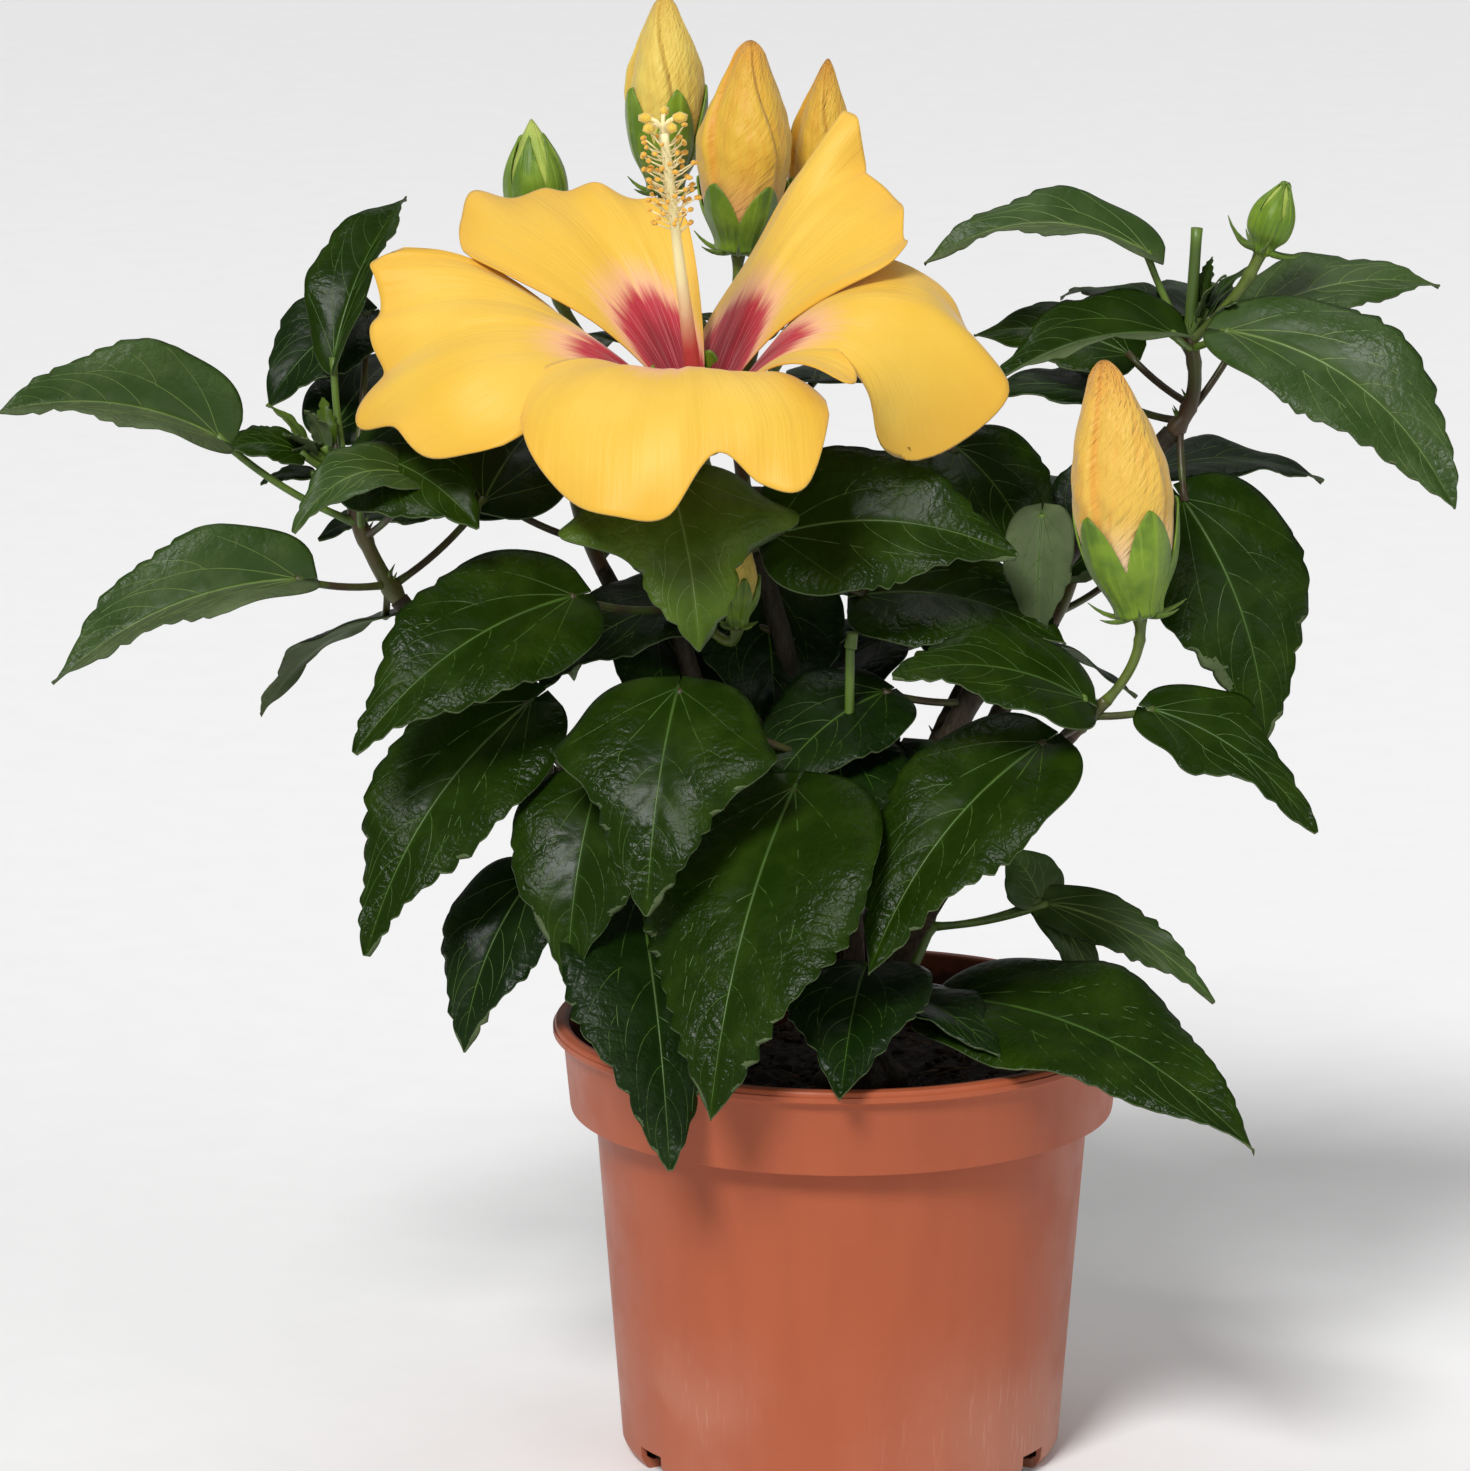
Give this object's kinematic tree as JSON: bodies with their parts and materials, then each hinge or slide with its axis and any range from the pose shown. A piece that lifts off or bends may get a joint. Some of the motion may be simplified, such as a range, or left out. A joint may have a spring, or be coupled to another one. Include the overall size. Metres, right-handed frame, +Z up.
{
  "type": "potted hibiscus shrub",
  "caption": "Hibiscus shrub in a tapered nursery pot: short trunk, spreading boughs with toothed leaves, an open yellow bloom and furled buds round it.",
  "frame": {"origin": "on the pot's axis, in the plane of its underside", "axes": "+Z up along the pot's axis, +X to the right as the open bloom is seen from its front, +Y to the back"},
  "size_m": [0.3198, 0.1908, 0.3247],
  "materials": {
    "pot": "satin",
    "soil": "matte",
    "bark": "matte",
    "leaf": "satin",
    "petal": "satin",
    "column": "satin",
    "sepal": "satin"
  },
  "bodies": {
    "root": {"pot": "pot", "soil": "soil", "trunk": "bark", "bough_left": "bark", "bough_left_low": "bark", "bough_right": "bark", "bough_right_low": "bark", "bough_right_mid": "bark", "bough_bloom": "bark", "bough_crown": "bark", "bough_front": "bark", "bough_back_left": "bark", "bough_back": "bark", "bough_back_right": "bark", "bough_foot": "bark", "bough_low": "bark", "foliage_left": "leaf", "foliage_left_low": "leaf", "foliage_front": "leaf", "foliage_bloom": "leaf", "foliage_crown": "leaf", "foliage_right_high": "leaf", "foliage_right_mid": "leaf", "foliage_foot": "leaf", "foliage_right_low": "leaf", "foliage_back_left": "leaf", "foliage_back": "leaf", "foliage_back_right": "leaf", "foliage_low": "leaf", "bloom_petals": "petal", "bloom_column": "column", "bloom_calyx": "sepal", "bud_top_left": "petal", "bud_top_left_calyx": "sepal", "bud_top_middle": "petal", "bud_top_middle_calyx": "sepal", "bud_top_right": "petal", "bud_top_right_calyx": "sepal", "bud_side": "petal", "bud_side_calyx": "sepal", "bud_low": "petal", "bud_low_calyx": "sepal", "bud_green_left": "sepal", "bud_green_right": "sepal"}
  },
  "joints": []
}
